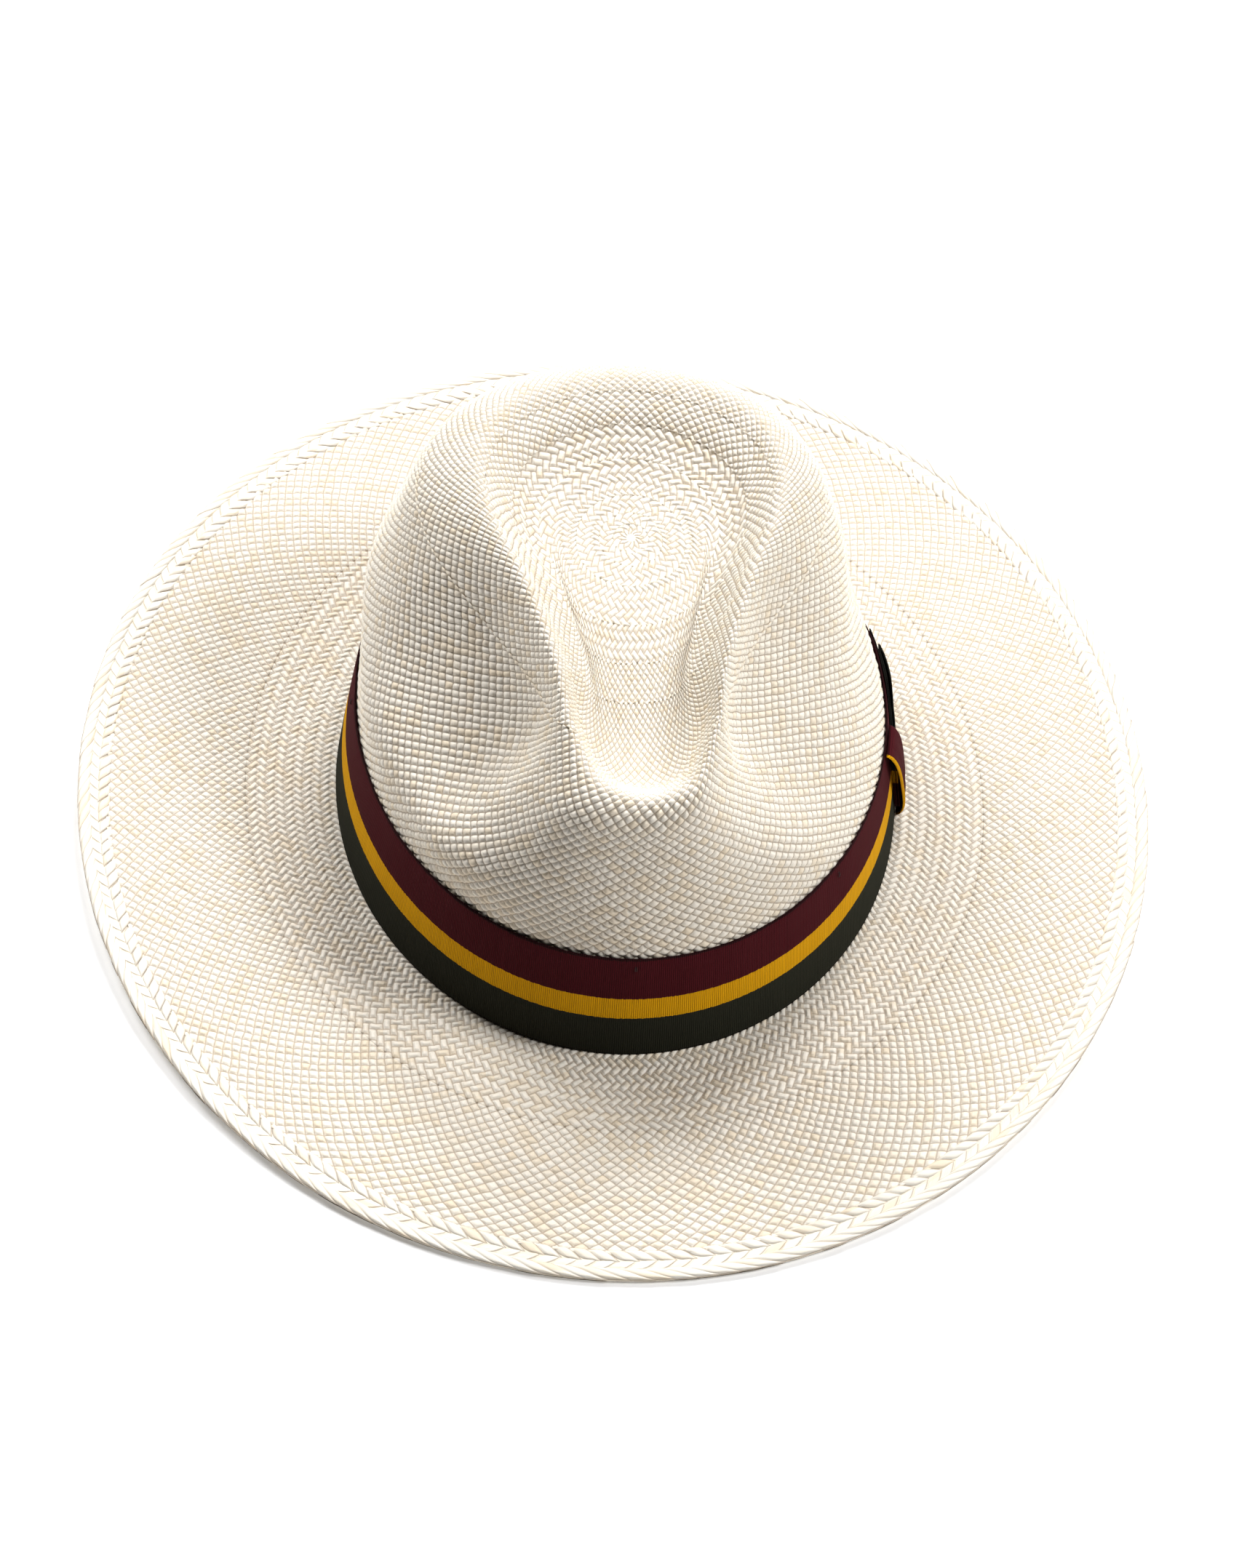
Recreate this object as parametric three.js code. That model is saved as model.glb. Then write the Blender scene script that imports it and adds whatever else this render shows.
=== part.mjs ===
// Panama hat: woven straw crown with a teardrop dent and two front pinches, wide brim with a plaited
// edge, striped grosgrain hatband with a flat side bow, and a leather sweatband.
// Millimetres, +Z up. The front of the hat points to -Y and the bow sits on the +X side.
// The origin is the centre of the brim's outline, on the plane that the hat stands on.
import * as THREE from 'three';

// ---- driving dimensions ------------------------------------------------------------------------
const COLUMNS = 72;          // facets round every ring-shaped piece
const STRAW = 1.6;           // thickness of the woven straw
const GAP = 0.35;            // clearance between neighbouring pieces
const BAND_A = 84.6;         // crown's half width at the foot
const BAND_B = 102;          // crown's half length at the foot
const FOOT_Y = -2.9;         // the foot sits a little forward of the brim's centre
const LEAN_SIDES = 6.4;      // how far the wall leans in over the height of the ribbon
const LEAN_ENDS = 4.2;       // the same at the front and the back
const RIBBON_HIGH = 39.8;    // hatband ribbon, top edge above the brim
const RIBBON_THICK = 0.7;
const BRIM_WIDE = 78.4;       // from the crown's foot to the brim's edge
const BRIM_FLAT = 14;        // flat ring round the crown that the hat rests on
const BRAID_WIDE = 9.5;      // plaited edge
const BRAID_THICK = 2.3;
const EDGE_LIFT = 3.3;       // mean rise of the brim's edge
const EDGE_LIFT_BACK = 1.2;  // extra rise at the back, and drop at the front
const EDGE_LIFT_SIDES = 1.5; // extra rise at the sides
const LEATHER = 0.9;         // sweatband
const SWEAT_TOP = 33;
const REED_R = 1.0;          // piping along the sweatband's lower edge
const KNOT_AT = 0.226;       // bow's knot, as a fraction of the way round from the front
const KNOT_HALF = 0.0115;    // half width of the knot, same unit
const KNOT_SLANT = 0.02;     // how much further back the knot's bottom is than its top
const LOOP_END = 0.284;      // rear fold of the bow's loop
const TAIL_END = 0.298;      // cut end of the bow's tail

// ---- the crown's block: rings from the tip to the foot -------------------------------------------
// Each ring lists its right half from the front to the back as [x, y, height above the brim], and
// how far the whole ring is shifted to the right. The ovals under the ribbon lean in instead.
const BLOCK = [
  { steps: 2, shift: 1, half: [[0, -20.5, 90.5], [13, -12.5, 91], [20, 3.5, 92], [17, 21.5, 93.5],
    [0, 31.5, 95]] },
  { steps: 2, shift: 1, half: [[0, -62.5, 82], [10, -54.5, 84], [14.5, -34.5, 88], [20, -10.5, 91],
    [27, 11.5, 94], [26, 30.5, 97.5], [15, 40.5, 99.5], [0, 43.5, 100]] },
  { steps: 2, shift: 1, half: [[0, -74.5, 83], [9, -70.5, 84], [15.5, -58.5, 87], [19, -38.5, 93],
    [26.5, -14.5, 97.5], [34, 11.5, 100.5], [34, 31.5, 103], [22, 46.5, 104.5], [0, 52.5, 105]] },
  { steps: 2, shift: 1, half: [[0, -86.5, 91.5], [13, -82.5, 93.5], [20, -66.5, 97.5],
    [23.5, -46.5, 101.5], [31, -20.5, 105], [41, 5.5, 107], [44, 28.5, 107.5], [35, 50.5, 107.5],
    [19, 60.5, 107], [0, 63.5, 107]] },
  { steps: 3, shift: -1.3, half: [[0, -92.5, 86.5], [18, -87.5, 88], [26.5, -70.5, 85], [29, -51, 79.5],
    [37.5, -25.5, 86.5], [52, 3.5, 97], [58, 28.5, 98], [49, 54.5, 98], [28, 71.5, 98], [0, 77.5, 98]] },
  { steps: 2, shift: -2, half: [[0, -94, 76], [22, -89.5, 76], [36.5, -74, 69.5], [43.5, -54, 66],
    [53, -27.5, 71.5], [64, 3.5, 80], [66, 31.5, 80], [53.5, 60.5, 81], [31, 78.5, 81], [0, 87, 81]] },
  { steps: 2, shift: -3.4, half: [[0, -97.5, 58], [28, -91, 58], [49, -76, 56], [60, -54.5, 54],
    [69.5, -26.5, 57], [72.4, 3.5, 59], [71, 34.5, 60], [58, 63.5, 60], [34, 84.5, 60],
    [0, 92.5, 60]] },
  { steps: 2, lean: 1, z: RIBBON_HIGH },
  { steps: 2, lean: 0.5, z: 20 },
  { steps: 1, lean: 0, z: 0.4 },
  { steps: 1, lean: -0.02, z: -STRAW },
];
const ROSETTE = new THREE.Vector3(1, 10.5, 92.5 + STRAW);

// ---- curves and grids ----------------------------------------------------------------------------
function ringCurve({ half, shift = 0, lean, z }) {
  let right = half;
  if (!right) {
    right = [];
    for (let k = 0; k <= 12; k++) {
      const t = (Math.PI * k) / 12;
      const [a, b] = [BAND_A - lean * LEAN_SIDES, BAND_B - lean * LEAN_ENDS];
      right.push([a * Math.sin(t), FOOT_Y - b * Math.cos(t), z]);
    }
  }
  const left = right.slice(1, -1).reverse().map(([x, y, h]) => [-x, y, h]);
  const points = [...right, ...left].map(([x, y, h]) => new THREE.Vector3(x + shift, y, h + STRAW));
  const curve = new THREE.CatmullRomCurve3(points, true, 'centripetal');
  curve.arcLengthDivisions = 1440;
  return curve.getSpacedPoints(COLUMNS).slice(0, COLUMNS);
}

// Rows of the crown's outer face, from the first ring round the rosette down to the foot.
function crownRows() {
  const rings = BLOCK.map(ringCurve);
  const rows = [];
  const profiles = rings[0].map((_, a) => new THREE.CatmullRomCurve3(
    [rings[0][(a + COLUMNS / 2) % COLUMNS], ROSETTE, ...rings.map((r) => r[a])],
    false, 'centripetal'));
  BLOCK.forEach(({ steps }, k) => {
    for (let s = 1; s <= steps; s++) {
      rows.push(profiles.map((p) => p.getPoint((k + 1 + s / steps) / (BLOCK.length + 1))));
    }
  });
  return rows;
}

const wrap = (a) => ((a % COLUMNS) + COLUMNS) % COLUMNS;

// Outward normals of a grid whose columns close on themselves.
function gridNormals(rows) {
  return rows.map((row, k) => row.map((_, a) => {
    const round = row[wrap(a + 1)].clone().sub(row[wrap(a - 1)]);
    const down = rows[Math.min(k + 1, rows.length - 1)][a].clone().sub(rows[Math.max(k - 1, 0)][a]);
    return down.cross(round).normalize();
  }));
}

const shift = (rows, normals, d) =>
  rows.map((row, k) => row.map((p, a) => p.clone().addScaledVector(normals[k][a], d)));

// Turns every face the other way if the solid came out inside out.
function orient(points, faces) {
  let volume = 0;
  for (let k = 0; k < faces.length; k += 3) {
    const [a, b, c] = [points[faces[k]], points[faces[k + 1]], points[faces[k + 2]]];
    volume += a.dot(b.clone().cross(c));
  }
  if (volume > 0) return faces;
  for (let k = 0; k < faces.length; k += 3) [faces[k], faces[k + 1]] = [faces[k + 1], faces[k]];
  return faces;
}

function meshOf(name, points, faces, look) {
  const geometry = new THREE.BufferGeometry().setFromPoints(points);
  geometry.setIndex(orient(points, faces));
  geometry.computeVertexNormals();
  const mesh = new THREE.Mesh(geometry, new THREE.MeshStandardMaterial(look));
  mesh.name = name;
  return mesh;
}

// A ring whose cross-section is a closed loop of rows; loops run outward face first, downwards.
function ringSolid(name, loop, look) {
  const faces = [];
  loop.forEach((_, k) => {
    const next = (k + 1) % loop.length;
    for (let a = 0; a < COLUMNS; a++) {
      const [p, q] = [k * COLUMNS + a, k * COLUMNS + wrap(a + 1)];
      const [r, s] = [next * COLUMNS + a, next * COLUMNS + wrap(a + 1)];
      faces.push(p, r, q, q, r, s);
    }
  });
  return meshOf(name, loop.flat(), faces, look);
}

// A slab between two open grids of the same size: front is the outer face, back the inner one.
function slab(name, front, back, look) {
  const [rows, cols] = [front.length, front[0].length];
  const at = (side, k, a) => side * rows * cols + k * cols + a;
  const faces = [];
  const quad = (p, q, r, s) => faces.push(p, q, r, p, r, s);
  for (let k = 0; k < rows - 1; k++) {
    for (let a = 0; a < cols - 1; a++) {
      quad(at(0, k, a), at(0, k, a + 1), at(0, k + 1, a + 1), at(0, k + 1, a));
      quad(at(1, k, a), at(1, k + 1, a), at(1, k + 1, a + 1), at(1, k, a + 1));
    }
    quad(at(0, k, 0), at(0, k + 1, 0), at(1, k + 1, 0), at(1, k, 0));
    quad(at(0, k + 1, cols - 1), at(0, k, cols - 1), at(1, k, cols - 1), at(1, k + 1, cols - 1));
  }
  for (let a = 0; a < cols - 1; a++) {
    quad(at(0, 0, a + 1), at(0, 0, a), at(1, 0, a), at(1, 0, a + 1));
    quad(at(0, rows - 1, a), at(0, rows - 1, a + 1), at(1, rows - 1, a + 1), at(1, rows - 1, a));
  }
  return meshOf(name, [...front.flat(), ...back.flat()], faces, look);
}

// ---- looks ---------------------------------------------------------------------------------------
const straw = { color: 0xece2cf, roughness: 0.62, metalness: 0 };
const burgundy = { color: 0x4a0f1c, roughness: 0.75, metalness: 0 };
const green = { color: 0x2c332b, roughness: 0.75, metalness: 0 };
const leather = { color: 0xb98a5c, roughness: 0.55, metalness: 0 };
const tape = { color: 0xd8cdb8, roughness: 0.8, metalness: 0 };
const thread = { color: 0x5a1a24, roughness: 0.8, metalness: 0 };

// ---- crown ---------------------------------------------------------------------------------------
const outer = crownRows();
const normals = gridNormals(outer);
const inner = shift(outer, normals, -STRAW);

function crown() {
  const points = [...outer.flat(), ...inner.flat(), ROSETTE, ROSETTE.clone().setZ(ROSETTE.z - STRAW)];
  const half = outer.length * COLUMNS;
  const [tip, tipUnder] = [2 * half, 2 * half + 1];
  inner.at(-1).forEach((p, a) => { points[half + (outer.length - 1) * COLUMNS + a].z = 0; });
  const faces = [];
  for (let a = 0; a < COLUMNS; a++) {
    const b = wrap(a + 1);
    faces.push(tip, a, b, tipUnder, half + b, half + a);
    for (let k = 0; k < outer.length - 1; k++) {
      const [p, q, r, s] = [k * COLUMNS + a, k * COLUMNS + b, (k + 1) * COLUMNS + a, (k + 1) * COLUMNS + b];
      faces.push(p, r, q, q, r, s, half + p, half + q, half + r, half + q, half + s, half + r);
    }
    const last = (outer.length - 1) * COLUMNS;
    faces.push(last + a, half + last + a, last + b, last + b, half + last + a, half + last + b);
  }
  return meshOf('woven_crown', points, faces, straw);
}

// ---- pieces on the wall: a ring of points at one height, and its outward plan normals ---------------
const foot = outer.at(-1);
const plan = foot.map((_, a) => {
  const along = foot[wrap(a + 1)].clone().sub(foot[wrap(a - 1)]);
  return new THREE.Vector3(along.y, -along.x, 0).normalize();
});

function wallRow(z, out) {
  return foot.map((_, a) => {
    let k = outer.length - 2;
    while (k > 0 && outer[k][a].z < z) k--;
    const [high, low] = [outer[k][a], outer[k + 1][a]];
    const t = (z - low.z) / (high.z - low.z);
    return low.clone().lerp(high, t).addScaledVector(plan[a], out);
  });
}

// The same, between columns: round is the fraction of the way round from the front.
function wallPoint(round, z, out) {
  const a = round * COLUMNS;
  const row = wallRow(z + STRAW, out);
  return row[wrap(Math.floor(a))].clone().lerp(row[wrap(Math.floor(a) + 1)], a - Math.floor(a));
}

// A ring piece on the wall between two heights; in and out are its distances from the wall.
function wallRing(name, low, high, rows, near, far, look) {
  const heights = Array.from({ length: rows }, (_, k) => high + ((low - high) * k) / (rows - 1));
  return ringSolid(name, [
    ...heights.map((z) => wallRow(z + STRAW, far)),
    ...heights.reverse().map((z) => wallRow(z + STRAW, near)),
  ], look);
}

// A round cord that runs all the way round the wall.
function wallCord(name, z, out, radius, sides, look) {
  const centre = wallRow(z + STRAW, out);
  const loop = Array.from({ length: sides }, (_, k) => {
    const t = Math.PI / 2 - (2 * Math.PI * (k + 0.5)) / sides;
    return centre.map((p, a) => p.clone().addScaledVector(plan[a], radius * Math.cos(t))
      .setZ(p.z + radius * Math.sin(t)));
  });
  return ringSolid(name, loop, look);
}

// ---- brim ----------------------------------------------------------------------------------------
function brimPoint(a, out, above) {
  const p = foot[a].clone().addScaledVector(plan[a], out);
  p.y -= (FOOT_Y * out) / BRIM_WIDE;
  const t = Math.atan2(p.y / (BAND_B + BRIM_WIDE), p.x / (BAND_A + BRIM_WIDE));
  const edge = EDGE_LIFT + EDGE_LIFT_BACK * Math.sin(t) + EDGE_LIFT_SIDES * Math.cos(2 * t);
  const run = Math.max(0, (out - BRIM_FLAT) / (BRIM_WIDE - BRIM_FLAT));
  return p.setZ(edge * run ** 1.4 + above);
}
const brimRow = (out, above) => foot.map((_, a) => brimPoint(a, out, above));

function brim() {
  const end = BRIM_WIDE - BRAID_WIDE - GAP;
  const reach = [GAP, BRIM_FLAT, 26, 38, 50, end];
  return ringSolid('woven_brim', [
    ...reach.map((d) => brimRow(d, STRAW)),
    ...reach.slice().reverse().map((d) => brimRow(d, 0)),
  ], straw);
}

// Two plaited rows side by side, with a groove between them.
function edgeBraid() {
  const from = BRIM_WIDE - BRAID_WIDE;
  const at = (t) => from + BRAID_WIDE * t;
  const [low, mid, high] = [0.25, STRAW / 2, BRAID_THICK];
  return ringSolid('edge_braid', [
    brimRow(at(0), mid), brimRow(at(0.1), high - 0.3), brimRow(at(0.27), high),
    brimRow(at(0.44), high - 0.3), brimRow(at(0.52), high - 0.9), brimRow(at(0.6), high - 0.3),
    brimRow(at(0.76), high), brimRow(at(0.93), high - 0.4), brimRow(at(1), mid),
    brimRow(at(0.9), low), brimRow(at(0.5), low), brimRow(at(0.1), low),
  ], straw);
}

// ---- bow on the right-hand side of the band ------------------------------------------------------
const BAND_FACE = GAP + RIBBON_THICK;              // ribbon's outer face, from the wall
const MIDDLE = RIBBON_HIGH / 2;
const spread = (n, from, to) => Array.from({ length: n }, (_, k) => from + ((to - from) * k) / (n - 1));

// A folded length of ribbon: path is [round, out, half height] from one end to the other.
function ribbonFold(name, path, thick, look) {
  const heights = spread(7, 1, -1);
  const side = (extra) => heights.map((h) => path.map(([round, out, tall]) =>
    wallPoint(round, MIDDLE + h * tall, BAND_FACE + out + extra)));
  return slab(name, side(thick), side(0), look);
}

function bowTail() {
  const stations = spread(9, KNOT_AT - 0.004, TAIL_END);
  const path = stations.map((r, k) => [r, GAP, 13.5 + 5.7 * Math.min(1, Math.max(0, k - 1) / 3)]);
  return ribbonFold('bow_tail', path, 0.45, green);
}

// The loop: one strip of ribbon out along the band to the rear fold and back again to the knot.
function bowLoop() {
  const [near, thick] = [1.1, 0.45];
  const run = spread(11, 0, 1);
  const clear = (t) => Math.max(0, (t - 0.5) / 0.5);   // how far past the knot
  const tall = (t) => 13.5 + 5.7 * Math.min(1, clear(t) * 3);
  const round = (t) => KNOT_AT - 0.004 + (LOOP_END - KNOT_AT) * t;
  const bulge = (t) => 0.35 + 1.5 * Math.sin(Math.PI * clear(t)) ** 0.8 + 0.6 * clear(t);
  // each side of the strip, walked from the knot to the fold and back; skin is 0 inside, 1 outside
  const walk = (skin) => [
    ...run.map((t) => [round(t) - 0.0015 * t * (1 - skin), near + thick * (1 - skin), tall(t)]),
    [LOOP_END + (skin ? 0.003 : -0.003), near + thick + 0.6, tall(1)],
    ...run.slice().reverse().map((t) => [
      round(t) - 0.0015 * t * (1 - skin), near + thick + bulge(t) + thick * skin, tall(t)]),
  ];
  const side = (skin) => spread(7, 1, -1).map((h) => walk(skin).map(([r, out, high]) =>
    wallPoint(r, MIDDLE + h * high, BAND_FACE + out)));
  return slab('bow_loop', side(1), side(0), green);
}

// The knot: a narrow strip wrapped over the band from its top edge to its bottom edge.
function bowKnot() {
  const rounds = spread(7, KNOT_AT - KNOT_HALF, KNOT_AT + KNOT_HALF);
  const heights = spread(13, 1, -1);
  const side = (extra) => heights.map((h) => rounds.map((round) => {
    const lift = 2.9 * (1 - h ** 4) ** 0.6;
    const z = MIDDLE + 0.35 + h * (MIDDLE - 0.1);
    return wallPoint(round - (h * KNOT_SLANT) / 2, z, BAND_FACE + GAP + lift + extra);
  }));
  return slab('bow_knot', side(0.7), side(0), burgundy);
}

// ---- sweatband and its small pieces ----------------------------------------------------------------
const LINE = -(STRAW + GAP);                       // sweatband's outer face, from the wall
function seamTape() {
  const rounds = spread(3, 0.491, 0.509);
  const heights = spread(4, SWEAT_TOP - 1, 5.4);
  const side = (out) => heights.map((z) => rounds.map((r) => wallPoint(r, z, out)));
  const near = LINE - LEATHER - GAP;
  return slab('sweatband_seam_tape', side(near), side(near - 0.5), tape);
}

// A tiny tied bow at the back of the sweatband, seen as two rounded loops and a middle.
function liningBow() {
  const shape = new THREE.Shape();
  shape.moveTo(0, 1.3).bezierCurveTo(3, 3.6, 8.5, 4.4, 9, 2.2).bezierCurveTo(9.3, 0.8, 9.3, -0.8, 9, -2.2);
  shape.bezierCurveTo(8.5, -4.4, 3, -3.6, 0, -1.3).bezierCurveTo(-3, -3.6, -8.5, -4.4, -9, -2.2);
  shape.bezierCurveTo(-9.3, -0.8, -9.3, 0.8, -9, 2.2).bezierCurveTo(-8.5, 4.4, -3, 3.6, 0, 1.3);
  const geometry = new THREE.ExtrudeGeometry(shape, { depth: 1.6, bevelEnabled: false, curveSegments: 6 });
  const mesh = new THREE.Mesh(geometry, new THREE.MeshStandardMaterial(tape));
  mesh.name = 'sweatband_bow';
  const at = wallPoint(0.5, 22, LINE - LEATHER - GAP - 0.5 - GAP);
  mesh.position.copy(at).add(new THREE.Vector3(0, -0.2, 0));
  mesh.rotation.x = Math.PI / 2 + Math.atan(LEAN_ENDS / RIBBON_HIGH);   // leans with the wall
  return mesh;
}

// Short thread bars that hold the ribbon's top edge to the straw.
function tack(name, round) {
  const a = wallPoint(round, RIBBON_HIGH - 2.2, BAND_FACE + GAP + 0.25);
  const b = wallPoint(round, RIBBON_HIGH - 4.4, BAND_FACE + GAP + 0.25);
  const geometry = new THREE.CapsuleGeometry(0.25, a.distanceTo(b), 2, 6);
  const mesh = new THREE.Mesh(geometry, new THREE.MeshStandardMaterial(thread));
  mesh.name = name;
  mesh.position.copy(a).lerp(b, 0.5);
  mesh.quaternion.setFromUnitVectors(new THREE.Vector3(0, 1, 0), a.clone().sub(b).normalize());
  return mesh;
}

// ---- assembly ------------------------------------------------------------------------------------
const hat = new THREE.Group();
hat.add(
  crown(), brim(), edgeBraid(),
  wallRing('hatband_ribbon', 0.35, RIBBON_HIGH, 4, GAP, BAND_FACE, burgundy),
  bowTail(), bowLoop(), bowKnot(),
  wallRing('sweatband', 1.4, SWEAT_TOP, 4, LINE - LEATHER, LINE, leather),
  wallCord('sweatband_reed', -0.2, LINE - REED_R - 0.1, REED_R, 8, tape),
  wallCord('sweatband_stitching', 4.6, LINE - LEATHER - GAP - 0.25, 0.25, 6, tape),
  seamTape(), liningBow(),
  tack('ribbon_tack_front', 0), tack('ribbon_tack_right', 0.125),
  tack('ribbon_tack_back', 0.5), tack('ribbon_tack_left', 0.75),
);

export default hat;
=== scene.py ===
"""Panama hat: hand-woven straw, plaited brim edge, striped grosgrain band with a flat side bow, and a
leather sweatband. Shapes are worked out in millimetres and written to the meshes in metres. The front
of the hat faces -Y and the bow is on the +X side."""
import math

import bpy
import numpy as np
from mathutils import Matrix, Vector


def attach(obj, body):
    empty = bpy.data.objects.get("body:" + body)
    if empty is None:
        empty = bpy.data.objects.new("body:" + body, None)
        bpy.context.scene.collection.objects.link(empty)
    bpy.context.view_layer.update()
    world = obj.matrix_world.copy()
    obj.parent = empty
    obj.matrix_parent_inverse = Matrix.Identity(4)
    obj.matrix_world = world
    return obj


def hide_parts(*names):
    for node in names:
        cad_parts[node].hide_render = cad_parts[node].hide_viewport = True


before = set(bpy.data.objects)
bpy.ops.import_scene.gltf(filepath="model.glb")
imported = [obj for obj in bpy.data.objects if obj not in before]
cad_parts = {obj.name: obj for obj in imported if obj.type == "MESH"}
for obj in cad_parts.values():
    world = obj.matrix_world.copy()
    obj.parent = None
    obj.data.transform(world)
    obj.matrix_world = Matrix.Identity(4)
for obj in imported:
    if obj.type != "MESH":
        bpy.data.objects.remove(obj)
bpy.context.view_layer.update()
bpy.ops.object.select_all(action="DESELECT")

# ---- sizes, in millimetres ---------------------------------------------------------------------
STRAW = 1.6                    # thickness of the weave
SKIRT = 35.0                   # height where the woven face ends under the ribbon
GAP = 0.35                     # clearance between neighbouring pieces
FOOT_A, FOOT_B = 84.6, 102.0   # half width and half length of the crown's foot
FOOT_Y = -2.9                  # the foot sits a little forward of the brim's centre
LEAN_SIDES, LEAN_ENDS = 6.4, 4.2     # how far the wall leans in over the ribbon's height
RIBBON_HIGH = 39.8
RIBBON_THICK = 0.7
STRIPES = (16.0, 24.2)         # burgundy, then gold, then green, from the top edge down
BRIM_WIDE, BRIM_FLAT = 78.4, 14.0
BRAID_WIDE, BRAID_THICK = 9.5, 2.3
EDGE_LIFT, EDGE_LIFT_BACK, EDGE_LIFT_SIDES = 3.3, 1.2, 1.5
LEATHER, SWEAT_TOP, REED_R = 0.9, 33.0, 1.0
KNOT_AT, KNOT_HALF, KNOT_SLANT = 0.226, 0.0115, 0.020   # fractions of the way round from the front
LOOP_END, TAIL_END = 0.284, 0.298
WALL_STRANDS, BRIM_STRANDS = 140, 250
TIP_END = 78.4                 # where the crown's tip gives way to its wall, from the hub
TWILL_END = 28.2               # where the brim's herringbone ends, from the foot
RELIEF, FLAT_RELIEF = 0.72, 0.5                  # height of a strand's crown over the gaps beside it
RIBBON_WIDE = 40.0             # the ribbon laid flat, for its stripes

# The crown's block. A ring is its lean to the right, then its right half from front to back as
# (x, y, height above the brim). The rings under the ribbon are ovals: how much they lean in, and height.
BLOCK = [
    (1.0, [(0, -20.5, 90.5), (13, -12.5, 91), (20, 3.5, 92), (17, 21.5, 93.5), (0, 31.5, 95)]),
    (1.0, [(0, -62.5, 82), (10, -54.5, 84), (14.5, -34.5, 88), (20, -10.5, 91), (27, 11.5, 94),
           (26, 30.5, 97.5), (15, 40.5, 99.5), (0, 43.5, 100)]),
    (1.0, [(0, -74.5, 83), (9, -70.5, 84), (15.5, -58.5, 87), (19, -38.5, 93), (26.5, -14.5, 97.5),
           (34, 11.5, 100.5), (34, 31.5, 103), (22, 46.5, 104.5), (0, 52.5, 105)]),
    (1.0, [(0, -86.5, 91.5), (13, -82.5, 93.5), (20, -66.5, 97.5), (23.5, -46.5, 101.5),
           (31, -20.5, 105), (41, 5.5, 107), (44, 28.5, 107.5), (35, 50.5, 107.5), (19, 60.5, 107),
           (0, 63.5, 107)]),
    (-1.3, [(0, -92.5, 86.5), (18, -87.5, 88), (26.5, -70.5, 85), (29, -51, 79.5), (37.5, -25.5, 86.5),
            (52, 3.5, 97), (58, 28.5, 98), (49, 54.5, 98), (28, 71.5, 98), (0, 77.5, 98)]),
    (-2.0, [(0, -94, 76), (22, -89.5, 76), (36.5, -74, 69.5), (43.5, -54, 66), (53, -27.5, 71.5),
            (64, 3.5, 80), (66, 31.5, 80), (53.5, 60.5, 81), (31, 78.5, 81), (0, 87, 81)]),
    (-3.4, [(0, -97.5, 58), (28, -91, 58), (49, -76, 56), (60, -54.5, 54), (69.5, -26.5, 57),
            (72.4, 3.5, 59), (71, 34.5, 60), (58, 63.5, 60), (34, 84.5, 60), (0, 92.5, 60)]),
    (1, RIBBON_HIGH), (0.5, 20), (0, 0.4), (-0.02, -STRAW),
]
ROSETTE = (1.0, 10.5, 92.5)
ROUND = 720                    # columns of the reference grids


# ---- curves ------------------------------------------------------------------------------------
def catmull(points, t, closed=False):
    """Centripetal Catmull-Rom through points, whose first axis is the order along the curve."""
    points = np.asarray(points, float)
    count = len(points)
    step = np.floor(t).astype(int)
    if not closed:
        step = np.minimum(step, count - 2)
        points = np.concatenate([[2 * points[0] - points[1]], points, [2 * points[-1] - points[-2]]])
        before, here, there, after = (points[step + k] for k in range(4))
    else:
        before, here, there, after = (points[(step + k - 1) % count] for k in range(4))
    f = (t - step).reshape((-1,) + (1,) * (points.ndim - 1))

    def gap(p, q):
        return np.maximum(np.linalg.norm(q - p, axis=-1, keepdims=True) ** 0.5, 1e-4)

    g0, g1, g2 = gap(before, here), gap(here, there), gap(there, after)
    out = ((here - before) / g0 - (there - before) / (g0 + g1) + (there - here) / g1) * g1
    into = ((there - here) / g1 - (after - here) / (g1 + g2) + (after - there) / g2) * g1
    return ((2 * f**3 - 3 * f**2 + 1) * here + (f**3 - 2 * f**2 + f) * out
            + (3 * f**2 - 2 * f**3) * there + (f**3 - f**2) * into)


def evenly(line, count, closed=False):
    """count points spaced evenly along a polyline."""
    if closed:
        line = np.vstack([line, line[:1]])
    run = np.concatenate([[0], np.cumsum(np.linalg.norm(np.diff(line, axis=0), axis=1))])
    at = np.linspace(0, run[-1], count, endpoint=not closed)
    return np.stack([np.interp(at, run, line[:, c]) for c in range(3)], 1)


def ring(entry):
    """One ring of the block, ROUND points from the front towards +X and round."""
    shift, shape = entry
    if isinstance(shape, list):
        right = shape
    else:
        t = np.linspace(0, math.pi, 13)
        a, b = FOOT_A - shift * LEAN_SIDES, FOOT_B - shift * LEAN_ENDS
        right, shift = [(a * math.sin(v), FOOT_Y - b * math.cos(v), shape) for v in t], 0
    left = [(-x, y, z) for x, y, z in right[-2:0:-1]]
    points = np.array(list(right) + left, float) + (shift, 0, STRAW)
    return evenly(catmull(points, np.linspace(0, len(points), 1440, endpoint=False), True),
                  ROUND, closed=True)


RINGS = [ring(entry) for entry in BLOCK]
FOOT = RINGS[-1]
along = np.roll(FOOT, -1, 0) - np.roll(FOOT, 1, 0)
PLAN = np.stack([along[:, 1], -along[:, 0], 0 * along[:, 0]], 1)
PLAN /= np.linalg.norm(PLAN, axis=1, keepdims=True)


def columns(u):
    """The two columns either side of u, the fraction round, and how far u lies between them."""
    a = (u % 1) * ROUND
    a0 = np.floor(a).astype(int) % ROUND
    return a0, (a0 + 1) % ROUND, (a - np.floor(a))[..., None]


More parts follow.
